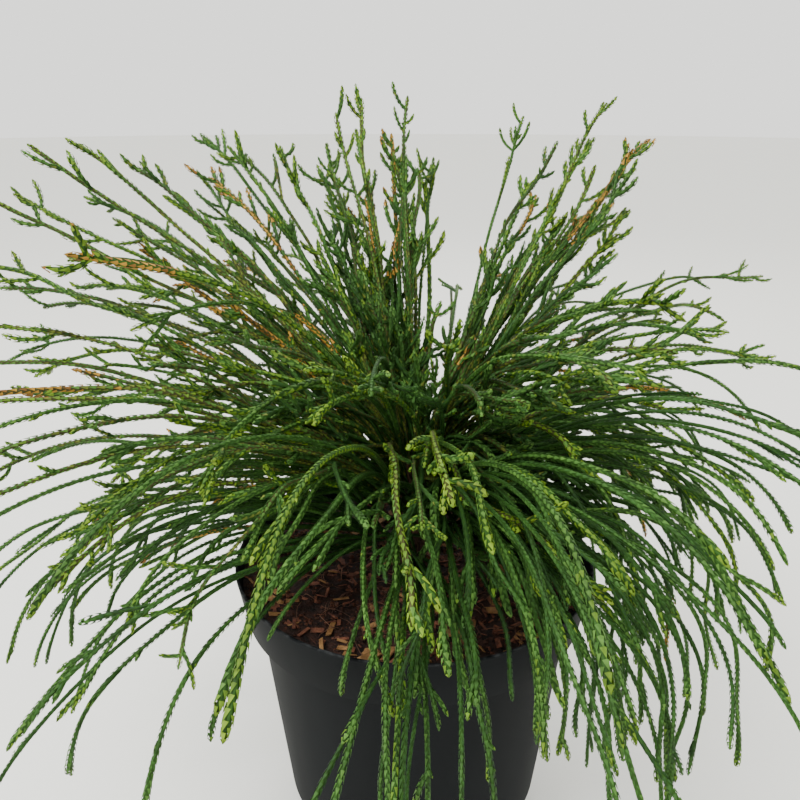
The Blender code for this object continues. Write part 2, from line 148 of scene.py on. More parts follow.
def placed(made):
    bpy.context.scene.collection.objects.link(made)
    return made


def addPiece(name, mesh, material, nodes):
    mesh.materials.append(material)
    piece = placed(bpy.data.objects.new(name, mesh))
    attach(piece, "root")
    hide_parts(*nodes)


def meshFrom(bm, name, smoothAngle=None):
    bmesh.ops.recalc_face_normals(bm, faces=bm.faces)
    mesh = bpy.data.meshes.new(name)
    bm.to_mesh(mesh)
    bm.free()
    if smoothAngle is not None:
        mesh.shade_smooth()
        mesh.set_sharp_from_angle(angle=math.radians(smoothAngle))
    return mesh


def meshFromArrays(name, corners, triangles):
    mesh = bpy.data.meshes.new(name)
    mesh.vertices.add(len(corners))
    mesh.vertices.foreach_set("co", corners.astype(np.float32).ravel())
    mesh.loops.add(triangles.size)
    mesh.loops.foreach_set("vertex_index", triangles.astype(np.int32).ravel())
    mesh.polygons.add(len(triangles))
    mesh.polygons.foreach_set("loop_start", np.arange(0, triangles.size, 3, dtype=np.int32))
    mesh.update(calc_edges=True)
    return mesh


def turnFrom(azimuth, other):  # the short way round, in degrees
    return (azimuth - other + 180.0) % 360.0 - 180.0


def turned(profile, sides):
    bm = bmesh.new()
    verts = [bm.verts.new((radius, 0.0, height)) for radius, height in profile]
    edges = [bm.edges.new(pair) for pair in zip(verts, verts[1:])]
    bmesh.ops.spin(bm, geom=verts + edges, cent=(0, 0, 0), axis=(0, 0, 1),
                   angle=math.tau, steps=sides, use_merge=True)
    bmesh.ops.remove_doubles(bm, verts=bm.verts, dist=1e-6)
    return bm


# the pot: a thin moulded shell with a stepped-out collar
pot = {
    "height": 0.166, "rim": 0.095, "collar": 0.0265, "collarFoot": 0.0902,
    "bodyTop": 0.0839, "shoulderHeight": 0.023, "shoulder": 0.0712, "foot": 0.0660,
    "chamfer": 0.0030, "wall": 0.0014, "floor": 0.0020, "sides": 180,
    "softEdge": 0.00045, "lip": 0.000252, "lipDepth": 0.0016, "lipRound": 0.0002,
    "holes": 6, "holeRadius": 0.0045, "holeCircle": 0.052, "sharpAngle": 35,
    "dustTop": 0.045, "lipWearAndHighlightBand": 0.0012,
    "colour": (0.0030, 0.0038, 0.0044), "worn": (0.0050, 0.0061, 0.0069),
    # edge: the lip's lighter grey, partly worn plastic and partly a painted highlight along the
    # rim
    "dust": (0.030, 0.028, 0.024), "edge": (0.060, 0.062, 0.064),
}


def potProfile(inset, low):
    collar = pot["height"] - pot["collar"]
    ledge = collar + inset
    shoulder = pot["shoulder"] - inset
    return [(pot["foot"] - inset, low + (0 if inset else pot["chamfer"])),
            (shoulder - 0.4 * pot["chamfer"], pot["shoulderHeight"]),
            (shoulder, pot["shoulderHeight"] + pot["chamfer"]),
            (pot["bodyTop"] - inset, ledge), (pot["collarFoot"] - inset, ledge)]


def paintPot():
    paint = Paint("potPlastic")
    height = paint.node("ShaderNodeSeparateXYZ", {},
                        {"Vector": paint.node("ShaderNodeTexCoord", output="Object")}, 2)
    cloud = paint.speckle(26.0, 4.0, (1.0, 1.0, 0.45))
    grain = paint.speckle(1500.0, 2.0)
    streaks = paint.speckle(70.0, 3.0, (1.0, 1.0, 0.07))
    worn = paint.mix(paint.steps(cloud, 0.38, 0.72), pot["colour"], pot["worn"])
    lowDown = paint.steps((pot["dustTop"] - height) * 22.0, 0.0, 1.0)
    dusty = paint.mix(lowDown * paint.steps(streaks, 0.50, 0.72) * 0.30, worn, pot["dust"])
    # a thin band at the top of the lip turns lighter grey in broken patches: partly wear, partly a
    # painted highlight on the rim's edge
    lipWearAndHighlightMask = paint.steps((height - (pot["height"] - pot["lipWearAndHighlightBand"])) * 900.0, 0.0, 1.0)
    withLipWearAndHighlight = paint.mix(lipWearAndHighlightMask * paint.steps(paint.speckle(240.0, 3.0), 0.40, 0.62) * 0.55,
                       dusty, pot["edge"])
    return paint.finish({
        "Base Color": withLipWearAndHighlight,
        "Roughness": 0.56 + 0.14 * cloud + 0.05 * streaks,
        "Normal": paint.bump(grain, 0.00006, 0.6),
        "Specular IOR Level": 0.06})


def makePot():
    inner = potProfile(pot["wall"], pot["floor"])
    outer = [(pot["foot"] - pot["chamfer"], 0.0)] + potProfile(0.0, 0.0)
    lip = [(pot["rim"] - pot["lip"], pot["height"] - pot["lipDepth"]),
           (pot["rim"], pot["height"] - pot["lipDepth"] * 0.6),
           (pot["rim"] - pot["lipRound"], pot["height"]),
           (pot["rim"] - pot["wall"], pot["height"])]
    bm = turned([(0.0, 0.0)] + outer + lip + inner[::-1] + [(0.0, pot["floor"])], pot["sides"])
    corners = {(round(r, 6), round(z, 6)) for r, z in outer + lip + inner}
    rings = []
    for edge in bm.edges:
        ends = [(round(math.hypot(v.co.x, v.co.y), 6), round(v.co.z, 6)) for v in edge.verts]
        if ends[0] == ends[1] and ends[0] in corners:
            rings.append(edge)
    bmesh.ops.bevel(bm, geom=rings, offset=pot["softEdge"], affect="EDGES", segments=2,
                    profile=0.5, material=-1, clamp_overlap=True)
    shell = placed(bpy.data.objects.new("potBlank", meshFrom(bm, "potBlank")))
    drill = bmesh.new()
    for k in range(pot["holes"]):
        place = Matrix.Rotation(math.tau * (k + 0.5) / pot["holes"], 4, "Z")
        place = place @ Matrix.Translation((pot["holeCircle"], 0, 0))
        bmesh.ops.create_cone(drill, cap_ends=True, segments=32, radius1=pot["holeRadius"],
                              radius2=pot["holeRadius"], depth=6 * pot["floor"], matrix=place)
    cutter = placed(bpy.data.objects.new("potDrill", meshFrom(drill, "potDrill")))
    cut = shell.modifiers.new("holes", "BOOLEAN")
    cut.operation, cut.object = "DIFFERENCE", cutter
    graph = bpy.context.evaluated_depsgraph_get()
    mesh = bpy.data.meshes.new_from_object(shell.evaluated_get(graph))
    for obj in (shell, cutter):
        bpy.data.objects.remove(obj, do_unlink=True)
    mesh.name = "potShell"
    mesh.materials.clear()
    mesh.shade_smooth()
    mesh.set_sharp_from_angle(angle=math.radians(pot["sharpAngle"]))
    addPiece("potShell", mesh, paintPot(), ["pot"])
    print("pot:", len(mesh.polygons), "faces")


# the potting mix: a bumpy bed with crumbs, chips of bark and a few fibres on it
mix = {
    "below": 0.0085, "gap": 0.0004, "rings": 52, "sides": 220, "relief": 0.0021,
    "patch": 0.011, "patchEdge": 0.008,  # a calm patch round the stem
    "crumbs": 2200, "crumb": (0.0007, 0.0020),
    "tanChips": 112, "tanChip": (0.0045, 0.0135), "rustChips": 620, "rustChip": (0.0022, 0.0066),
    "fibres": 260, "fibre": (0.006, 0.020), "fibreSteps": 7,
    "fibreStart": 0.012, "fibreEnd": 0.003,  # from the pot's wall
    "bed": ((0.0060, 0.0032, 0.0026), (0.036, 0.0135, 0.0085)),
    "crumbColours": ((0.012, 0.0056, 0.0040), (0.086, 0.027, 0.012)),
    "tan": ((0.16, 0.075, 0.024), (0.29, 0.155, 0.058)),
    "rust": ((0.060, 0.020, 0.012), (0.200, 0.070, 0.036)),
    "fibreColours": ((0.060, 0.028, 0.018), (0.170, 0.083, 0.050)),
}


def paintMix(name, colours, scale, bumpScale, bumpDepth, roughness=0.85, stretch=(1, 1, 1)):
    paint = Paint(name)
    patches = paint.steps(paint.speckle(scale, 4.0, stretch), 0.36, 0.66)
    rough = paint.speckle(bumpScale, 3.0, stretch)
    return paint.finish({
        "Base Color": paint.mix(patches, *colours),
        "Roughness": roughness - 0.15 * rough,
        "Normal": paint.bump(rough, bumpDepth),
        "Specular IOR Level": 0.30})


def mixHeight(x, y, level):
    radius = math.hypot(x, y)
    spot = Vector((x, y, 3.7))
    lumps = noise.fractal(spot * 95.0, 0.6, 2.0, 4) + 0.6 * noise.noise(spot * 40.0)
    calm = min(1.0, max(0.0, (radius - mix["patch"]) / mix["patchEdge"]))
    return level + mix["relief"] * lumps * calm


def mixBed():
    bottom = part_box("potting_mix")[0][2]
    level = pot["height"] - mix["below"]
    inset = pot["wall"] + mix["gap"]
    lining = potProfile(inset, pot["floor"] + mix["gap"])
    below = lining[-1]
    share = (level - below[1]) / (pot["height"] - below[1])
    edge = below[0] + (pot["rim"] - inset - below[0]) * share
    flat = [(edge * k / mix["rings"], level) for k in range(mix["rings"], -1, -1)]
    bm = turned([(0.0, bottom)] + lining + flat, mix["sides"])
    for vert in bm.verts:
        radius = math.hypot(vert.co.x, vert.co.y)
        if vert.co.z > level - 1e-5 and radius < edge - 1e-5:
            vert.co.z = mixHeight(vert.co.x, vert.co.y, level)
    addMix("mixBed", meshFrom(bm, "mixBed", 60), mix["bed"], 210.0, 620.0, 0.0011)
    return level, edge


def addMix(name, mesh, *look):
    addPiece(name, mesh, paintMix(name, *look), ["potting_mix"])


def scatterSpot(rng, edge):
    while True:
        x, y = rng.uniform(-edge, edge), rng.uniform(-edge, edge)
        if mix["patch"] < math.hypot(x, y) < edge:
            return x, y


def roughen(rng, verts, centre, amount):
    for vert in verts:
        vert.co = centre + (vert.co - centre) * rng.uniform(1 - amount, 1 + amount)


def mixCrumbs(level, edge):
    rng = random.Random(11)
    bm = bmesh.new()
    for _ in range(mix["crumbs"]):
        size = rng.uniform(*mix["crumb"]) * rng.uniform(0.6, 1.0)
        x, y = scatterSpot(rng, edge - size)
        centre = Vector((x, y, mixHeight(x, y, level) + size / 4))
        shape = Matrix.Diagonal((1.0, rng.uniform(0.5, 0.9), rng.uniform(0.35, 0.7), 1.0))
        turn = Matrix.Rotation(rng.uniform(0, math.tau), 4, "Z")
        tip = Matrix.Rotation(rng.uniform(-0.6, 0.6), 4, "X")
        made = bmesh.ops.create_icosphere(bm, subdivisions=1, radius=size,
                                          matrix=Matrix.Translation(centre) @ turn @ tip @ shape)
        roughen(rng, made["verts"], centre, 0.28)
    addMix("mixCrumbs", meshFrom(bm, "mixCrumbs"), mix["crumbColours"], 300.0, 900.0, 0.0006)


def mixChips(level, edge, name, colours, count, lengths, seed):
    rng = random.Random(seed)
    bm = bmesh.new()
    for _ in range(count):
        length = rng.uniform(*lengths)
        width, thick = length * rng.uniform(0.18, 0.42), length * rng.uniform(0.06, 0.12)
        x, y = scatterSpot(rng, edge - 0.55 * length)
        centre = Vector((x, y, mixHeight(x, y, level) + 0.6 * thick + rng.uniform(0, 0.0009)))
        turn = Matrix.Rotation(rng.uniform(0, math.tau), 4, "Z")
        tip = Matrix.Rotation(rng.uniform(-0.30, 0.30), 4, "Y")
        roll = Matrix.Rotation(rng.uniform(-0.8, 0.8), 4, "X")
        shape = Matrix.Diagonal((length, width, thick, 1.0))
        made = bmesh.ops.create_cube(bm, size=1.0,
                                     matrix=Matrix.Translation(centre) @ turn @ tip @ roll @ shape)
        roughen(rng, made["verts"], centre, 0.20)
    bmesh.ops.bevel(bm, geom=bm.edges[:], offset=0.00018, affect="EDGES", segments=1,
                    profile=0.5, material=-1, clamp_overlap=True)
    addMix(name, meshFrom(bm, name), colours, 230.0, 1100.0, 0.0005, 0.78, (1.0, 1.0, 2.0))


def mixFibres(level, edge):
    rng = random.Random(29)
    corners, triangles, count = [], [], 0
    for _ in range(mix["fibres"]):
        x, y = scatterSpot(rng, edge - mix["fibreStart"])
        length, heading = rng.uniform(*mix["fibre"]), rng.uniform(0, math.tau)
        bend, thick = rng.uniform(-2.2, 2.2), rng.uniform(0.00012, 0.00026)
        steps, points = mix["fibreSteps"], []
        for k in range(steps + 1):
            turn = heading + bend * k / steps
            lift = 0.0006 + 0.0016 * math.sin(math.pi * k / steps)
            points.append((x, y, mixHeight(x, y, level) + lift))
            if math.hypot(x, y) > edge - mix["fibreEnd"]:
                break
            x += math.cos(turn) * length / steps
            y += math.sin(turn) * length / steps
        if len(points) < 3:
            continue
        path = Path(np.array(points), math.degrees(heading))
        rings, faces = path.tube(np.linspace(0, path.length, len(points)),
                                 np.full(len(points), thick), 3)
        corners.append(rings)
        triangles.append(faces + count)
        count += len(rings)
    mesh = meshFromArrays("mixFibres", np.concatenate(corners), np.concatenate(triangles))
    addMix("mixFibres", mesh, mix["fibreColours"], 160.0, 900.0, 0.0002)


def makeMix():
    level, edge = mixBed()
    mixCrumbs(level, edge)
    mixChips(level, edge, "tanChips", mix["tan"], mix["tanChips"], mix["tanChip"], 17)
    mixChips(level, edge, "rustChips", mix["rust"], mix["rustChips"], mix["rustChip"], 23)
    mixFibres(level, edge)
    print("potting mix: bed, crumbs, chips and fibres")


# the growth rule of the crown, with the sizes of the solid model
# density, and fill below: heading, half width in degrees and change of each hump
crown = {
    "steps": 8, "bend": 1.35, "sway": 10.0, "radius": 0.0016,
    "scaleStep": 0.14, "forkChance": 0.4, "forkSteps": 3, "forkLength": (0.022, 0.042),
    "forkSpread": (18.0, 34.0), "margin": 0.002, "potMargin": 0.004, "groundMargin": 0.014,
    "rootSteps": 2, "tries": 800, "gap": 0.0003, "stem": 0.016, "soilTop": 0.1575,
    "front": 297.0, "frontDrop": 0.055, "frontWidth": 85.0, "widest": 38.0,
    "roofSteps": 40, "slopeInside": 0.9,
    "density": ((300.0, 50.0, 0.35), (236.0, 34.0, -0.55), (46.0, 18.0, 0.7)),
}
tiers = {
    "low": {"height": 0.170, "stagger": 0.003, "lift": 20.0, "bough": 0.034, "shoots": 7,
            "azimuths": [45.0 * k for k in range(8)]},
    "mid": {"height": 0.184, "stagger": 0.0035, "lift": 44.0, "bough": 0.032, "shoots": 7,
            "azimuths": [22.5 + 45.0 * k for k in range(8)]},
    "top": {"height": 0.197, "stagger": 0.007, "lift": 62.0, "bough": 0.027, "shoots": 7,
            "azimuths": [44.0, 90.0, 115.0, 142.0, 169.0, 237.0, 307.0]},
}
habits = {  # per heading: lift, length and droop of the shoots there, each from least to most
    "low": ((15, 8, 36, 0.165, 0.240, 88, 130), (100, 8, 36, 0.160, 0.240, 85, 120),
            (175, 8, 32, 0.185, 0.250, 60, 100), (215, 4, 26, 0.170, 0.245, 54, 96),
            (260, 10, 38, 0.135, 0.220, 95, 140), (315, 18, 50, 0.150, 0.225, 128, 172),
            (345, 14, 44, 0.160, 0.230, 115, 155)),
    "mid": ((15, 27, 50, 0.175, 0.240, 50, 105), (90, 28, 50, 0.150, 0.225, 38, 88),
            (170, 32, 52, 0.200, 0.255, 24, 64), (215, 24, 46, 0.175, 0.250, 48, 92),
            (270, 24, 50, 0.140, 0.240, 82, 126), (325, 24, 52, 0.140, 0.215, 95, 148)),
    "top": ((44, 47, 60, 0.165, 0.210, 4, 24), (95, 58, 80, 0.130, 0.170, 0, 18),
            (130, 48, 68, 0.155, 0.205, 4, 28), (155, 40, 58, 0.175, 0.230, 8, 36),
            (190, 30, 52, 0.160, 0.235, 24, 66), (300, 47, 75, 0.085, 0.145, 55, 108)),
}
# the surfaces that part the tiers: radius, height, lift, length and droop of their lines
roofs = {"low": (0.030, 0.190, 42, 0.35, 122), "mid": (0.020, 0.214, 54, 0.35, 98)}
trunk = {
    "top": 0.212, "foot": 0.0078, "waist": 0.0046, "tip": 0.0026, "flare": 0.012,
    "lobes": 5, "lean": 0.0012, "sides": 48, "rings": 44, "relief": 0.00055,
    "boughFoot": 0.0014, "boughTip": 0.0012, "boughBow": 0.0010, "boughSides": 14,
    "boughRings": 22, "boughRelief": 0.00022,
    "bark": ((0.012, 0.0065, 0.0042), (0.080, 0.044, 0.024)),
}


def direction(azimuth, lift):
    a, e = math.radians(azimuth), math.radians(lift)
    return Vector((math.cos(e) * math.cos(a), math.cos(e) * math.sin(a), math.sin(e)))


def trunkCentre(height):
    share = (height - crown["soilTop"]) / (trunk["top"] - crown["soilTop"])
    return Vector((trunk["lean"] * math.sin(math.pi * share),
                   -trunk["lean"] * math.sin(math.tau * share) / 2, height))


def boughLine(tier, index):
    sizes = tiers[tier]
    height = sizes["height"] + sizes["stagger"] * (index % 2)
    start = trunkCentre(height)
    along = direction(sizes["azimuths"][index], sizes["lift"])
    return start, start + along * sizes["bough"], along


def habit(tier, azimuth):  # between the rows of the two nearest headings
    rows = habits[tier]
    for (start, *here), (end, *there) in zip(rows, rows[1:] + rows[:1]):
        past, span = (azimuth - start) % 360.0, (end - start) % 360.0
        if past < span:
            return [a + (b - a) * past / span for a, b in zip(here, there)]


def shootPath(start, azimuth, lift, length, droop, sway, steps):
    points = [np.array(start, float)]
    for k in range(steps):
        share = (k + 0.5) / steps
        rise = max(lift - droop * share ** crown["bend"], -86.0)
        heading = direction(azimuth + sway * share, rise)
        points.append(points[-1] + np.array(heading) * length / steps)
    return np.array(points)


def roofCurve(tier):
    radius, height, lift, length, droop = roofs[tier]
    points = shootPath((radius, 0.0, height), 0.0, lift, length, droop, 0.0,
                       crown["roofSteps"])
    return points[:, 0], points[:, 2]


roofCurves = {tier: roofCurve(tier) for tier in roofs}


def roofHeight(tier, points):
    radius = np.hypot(points[:, 0], points[:, 1])
    azimuth = np.degrees(np.arctan2(points[:, 1], points[:, 0]))
    off = turnFrom(azimuth, crown["front"])
    drop = crown["frontDrop"] * np.cos(np.radians(off * 90.0 / crown["frontWidth"])) ** 2
    drop = np.where(np.abs(off) < crown["frontWidth"], drop * (radius / 0.2) ** 2, 0.0)
    radii, heights = roofCurves[tier]
    inside = heights[0] - (radii[0] - radius) * crown["slopeInside"] - drop
    over = np.interp(radius, radii, heights) - drop
    return np.where(radius < radii[0], inside, np.where(radius > radii[-1], -1.0, over))


def halfAngles(tier):
    azimuths = tiers[tier]["azimuths"]
    result = []
    for k, azimuth in enumerate(azimuths):
        ahead = (azimuths[(k + 1) % len(azimuths)] - azimuth) % 360.0
        behind = (azimuth - azimuths[k - 1]) % 360.0
        result.append(min(ahead / 2, behind / 2, crown["widest"]))
    return result


def clearOfPot(points):
    radius = np.hypot(points[:, 0], points[:, 1])
    margin = crown["potMargin"]
    near = (radius < pot["rim"] + margin) & (points[:, 2] < pot["height"] + margin)
    inside = (radius < pot["rim"] - 2 * margin) & (points[:, 2] > crown["soilTop"] + margin)
    return (points[:, 2] >= crown["groundMargin"]) & (~near | inside)


def inSpace(tier, azimuth, spread, points):
    radius = np.hypot(points[:, 0], points[:, 1])
    heading = np.degrees(np.arctan2(points[:, 1], points[:, 0]))
    off = np.abs(turnFrom(heading, azimuth))
    margin = crown["margin"]
    fits = (off < spread) & (radius * np.sin(np.radians(spread - off)) >= margin)
    if tier in roofs:
        fits &= points[:, 2] <= roofHeight(tier, points) - margin
    below = {"mid": "low", "top": "mid"}.get(tier)
    if below:
        fits &= points[:, 2] >= roofHeight(below, points) + margin
    return bool((fits & clearOfPot(points)).all())


def leastGap(path, starts, ends):
    p, d = path[:-1, None, :], (path[1:] - path[:-1])[:, None, :]
    q, e = starts[None, :, :], (ends - starts)[None, :, :]
    r = p - q
    dd, ee, de = (d * d).sum(-1), (e * e).sum(-1), (d * e).sum(-1)
    er, dr = (e * r).sum(-1), (d * r).sum(-1)
    s = np.clip((de * er - dr * ee) / np.maximum(dd * ee - de * de, 1e-18), 0.0, 1.0)
    t = np.clip((de * s + er) / ee, 0.0, 1.0)
    s = np.clip((de * t - dr) / dd, 0.0, 1.0)
    apart = p + d * s[..., None] - q - e * t[..., None]
    return float(np.sqrt((apart ** 2).sum(-1)).min())


class Obstacles:  # the stretches that limbs and shoots already fill
    def __init__(self):
        self.starts, self.ends, self.owners = [], [], []

    def add(self, path, owner):
        self.starts.extend(path[:-1])
        self.ends.extend(path[1:])
        self.owners.extend([owner] * (len(path) - 1))

    def clear(self, path, owner, distance, own=False):
        chosen = [k for k, name in enumerate(self.owners) if (name == owner) == own]
        if not chosen:
            return True
        starts, ends = np.array(self.starts)[chosen], np.array(self.ends)[chosen]
        return leastGap(path, starts, ends) > distance


def limbs():
    found = Obstacles()
    found.add(np.array([trunkCentre(crown["soilTop"]), trunkCentre(trunk["top"])], float),
              "trunk")
    for tier in tiers:
        for index in range(len(tiers[tier]["azimuths"])):
            start, tip, along = boughLine(tier, index)
            found.add(np.array([start, tip], float), f"bough {tier} {index}")
            stem = [tip + along * crown["gap"], tip + along * crown["stem"]]
            found.add(np.array(stem, float), f"{tier} {index}")
    return found


def drawShoot(rng, tier, index, spread):
    azimuth = tiers[tier]["azimuths"][index]
    lift0, lift1, length0, length1, droop0, droop1 = habit(tier, azimuth)
    tip, along = boughLine(tier, index)[1:]
    heading = azimuth + rng.uniform(-1.0, 1.0) * spread * 0.85
    lift, length = rng.uniform(lift0, lift1), rng.uniform(length0, length1)
    droop, sway = rng.uniform(droop0, droop1), rng.uniform(-crown["sway"], crown["sway"])
    start = tip + along * crown["stem"] * rng.uniform(0.2, 0.9)
    growth = (start, heading, lift, length, droop, sway)
    main = shootPath(*growth, crown["steps"])
    fork = None
    if rng.random() < crown["forkChance"]:
        joint = rng.randrange(crown["steps"] - 4, crown["steps"] - 1)
        run = main[joint + 1] - main[joint]
        rise = math.degrees(math.asin(run[2] / np.linalg.norm(run)))
        turn = rng.uniform(*crown["forkSpread"]) * rng.choice((-1, 1))
        forkHeading = math.degrees(math.atan2(run[1], run[0])) + turn
        fork = (main[joint], forkHeading, rise + 0.4 * abs(turn),
                rng.uniform(*crown["forkLength"]), 10.0, 0.0)
    return growth, main, fork


def density(azimuth, humps=crown["density"]):  # shoots for each one of an even crown
    share = 1.0
    for middle, halfWidth, change in humps:
        off = abs(turnFrom(azimuth, middle))
        if off < halfWidth:
            share += change * math.cos(math.radians(off * 90.0 / halfWidth))
    return share


def growSolidCrown():  # the same shoots as the solids have
    taken, own = limbs(), Obstacles()
    apart = 2 * crown["radius"] * (1 + crown["scaleStep"]) + crown["gap"]
    free = slice(crown["rootSteps"], None)
    grown = []
    for tier in tiers:
        spreads = halfAngles(tier)
        for index, azimuth in enumerate(tiers[tier]["azimuths"]):
            rng = random.Random(f"{tier} {index}")
            owner, kept = f"{tier} {index}", 0
            wanted = round(tiers[tier]["shoots"] * density(azimuth))
            for _ in range(crown["tries"]):
                growth, main, fork = drawShoot(rng, tier, index, spreads[index])
                forks = [] if fork is None else [shootPath(*fork, crown["forkSteps"])]
                outer = [main[free], *forks]
                if not all(inSpace(tier, azimuth, spreads[index], path) for path in outer):
                    continue
                if not all(taken.clear(path, owner, apart) for path in (main, *forks)):
                    continue
                if not all(own.clear(path, owner, apart, own=True) for path in outer):
                    continue
                grown.append((tier, index, growth, fork))
                for path in (main, *forks):
                    taken.add(path, owner)
                for path in outer:
                    own.add(path, owner)
                kept += 1
                if kept == wanted:
                    break
    return grown


# stem and boughs with the relief of their bark
def barkNoise(turn, along, scale):
    spot = Vector((math.cos(turn) * scale, math.sin(turn) * scale, along))
    return noise.fractal(spot, 0.7, 2.1, 4)


def extrudeRings(bm, sides, count, corner):
    ring = bmesh.ops.create_circle(bm, cap_ends=True, segments=sides, radius=1.0)["verts"]
    cap = ring[0].link_faces[0]
    turns = [math.atan2(v.co.y, v.co.x) for v in cap.verts]
    for k in range(count):
        if k:
            cap = bmesh.ops.extrude_discrete_faces(bm, faces=[cap])["faces"][0]
        for vert, turn in zip(cap.verts, turns):
            vert.co = corner(k, turn)
    bmesh.ops.holes_fill(bm, edges=[e for e in bm.edges if e.is_boundary])


def trunkRadius(height, turn):
    rise = height - crown["soilTop"]
    share = rise / (trunk["top"] - crown["soilTop"])
    shaft = trunk["waist"] + (trunk["tip"] - trunk["waist"]) * share
    flare = max(0.0, 1.0 - rise / trunk["flare"]) ** 2
    lobes = 1.0 + 0.16 * flare * math.cos(trunk["lobes"] * turn)
    return (shaft + (trunk["foot"] - trunk["waist"]) * flare) * lobes


def paintBark():
    paint = Paint("bark")
    ridges = paint.speckle(420.0, 4.0, (1.0, 1.0, 0.25))
    return paint.finish({
        "Base Color": paint.mix(paint.steps(ridges, 0.34, 0.70), *trunk["bark"]),
        "Roughness": 0.92 - 0.15 * ridges,
        "Normal": paint.bump(ridges, 0.0007),
        "Specular IOR Level": 0.25})


def makeBark():
    bark = paintBark()
    foot = crown["soilTop"] + crown["gap"]

    def trunkCorner(k, turn):
        share = k / (trunk["rings"] - 1)
        height = foot + (trunk["top"] - foot) * share
        ridges = barkNoise(turn, height * 160.0, 2.6)
        radius = trunkRadius(height, turn) + trunk["relief"] * ridges * (0.3 + 0.7 * (share < 1))
        return trunkCentre(height) + Vector((math.cos(turn), math.sin(turn), 0.0)) * radius

    bm = bmesh.new()
    extrudeRings(bm, trunk["sides"], trunk["rings"], trunkCorner)
    addPiece("trunkBark", meshFrom(bm, "trunkBark", 50), bark, ["trunk"])
    bm = bmesh.new()
    names = []
    for tier in tiers:
        for index, azimuth in enumerate(tiers[tier]["azimuths"]):
            start, tip, along = boughLine(tier, index)
            flat = direction(azimuth + 90.0, 0.0)
            side = (flat - along * flat.dot(along)).normalized()
            up = along.cross(side)
            hand = 1 if index % 2 else -1

            def boughCorner(k, turn):
                share = k / (trunk["boughRings"] - 1)
                bow = side * trunk["boughBow"] * math.sin(math.pi * share) ** 2 * hand
                radius = trunk["boughFoot"] + (trunk["boughTip"] - trunk["boughFoot"]) * share
                bumps = barkNoise(turn, share * 9.0 + azimuth, 1.4)
                radius += trunk["boughRelief"] * bumps * (share < 1)
                across = side * math.cos(turn) + up * math.sin(turn)
                return start.lerp(tip, share) + bow + across * radius

            extrudeRings(bm, trunk["boughSides"], trunk["boughRings"], boughCorner)
            names.append(f"bough_{tier}_{index + 1}")
    addPiece("boughBark", meshFrom(bm, "boughBark", 50), bark, names)
    print("bark: trunk and", len(names), "boughs")


# shoots: cords of scale leaves in crossed pairs
shoot = {
    "coreShare": 0.80, "coreStep": 0.006, "coreSides": 5,
    "fineSteps": 40, "forkFineSteps": 12, "wiggle": 0.0030, "slack": 0.008,
    "extra": {"low": 8, "mid": 9, "top": 8}, "turn": 13, "sway": 34.0,
    "extraLength": {"low": (0.66, 1.0), "mid": (0.55, 0.97), "top": (0.55, 0.97)},
    "extraDroop": (0.95, 1.25), "extraOnBough": 0.5,
    "heart": {"low": 6, "mid": 9, "top": 9}, "heartLength": (0.28, 0.66),
    "heartTurn": 25, "heartLift": (-4, 24), "heartDroop": (0.45, 0.95), "steepest": 84.0,
    "across": {"low": 3, "mid": 5, "top": 5}, "acrossLength": (0.09, 0.20),
    "acrossTurn": (35.0, 110.0), "acrossLift": (22.0, 66.0),
    "acrossDroop": (50.0, 125.0), "acrossSway": 50.0,
    "fill": {"low": ((334.0, 26.0, 2.2), (254.0, 42.0, -0.95), (188.0, 28.0, 0.9),
                     (90.0, 50.0, 0.4)),
             "mid": ((318.0, 38.0, 1.1), (242.0, 38.0, -0.8), (188.0, 28.0, 0.9)),
             "top": ((324.0, 42.0, 0.8), (242.0, 38.0, -0.6))},
    "gap": (58.0, 98.0), "gapPart": 0.6,
}
scaleLeaf = {  # sizes are shares of a cord's radius, or of the pitch between pairs
    "pitch": 1.35, "length": (1.9, 2.4), "halfWidth": 47, "foot": 0.15, "ridge": 0.10,
    "keel": 0.14, "hem": 0.10, "paired": 0.6, "oldReach": 0.070,
}
looks = {  # tones count up the greens: rise is towards the end, tip at the end itself
    "vigorous": {"radius": (0.00104, 0.00122), "flare": (1.18, 1.30), "tone": (3.8, 5.8),
                 "rise": 1.2, "tip": 0.9},
    "ordinary": {"radius": (0.00092, 0.00114), "flare": (1.18, 1.34), "tone": (1.4, 4.4),
                 "rise": 1.4, "tip": 1.8},
    "slender": {"radius": (0.00077, 0.00095), "flare": (1.16, 1.30), "tone": (0.6, 2.8),
                "rise": 1.2, "tip": 2.3},
    "uprightBelow": {"low": 0, "mid": 75, "top": 109},  # by the shoot's droop
    "vigorousShare": 0.10, "vigorousFront": 0.20, "slenderFrom": 0.66,
    "oliveShares": [0.05, 0.25, 0.50, 0.75], "clubChance": 0.55, "club": (0.20, 0.48),
    "innerLength": 0.165, "innerSpan": 0.085,  # shorter shoots are darker
    "bronzeChance": 0.11, "bronzeShare": (0.20, 0.50), "bronzeRadius": 0.00125,
    "greenSide": 290.0, "greenLimit": 0.40,  # no bronze near this heading
}
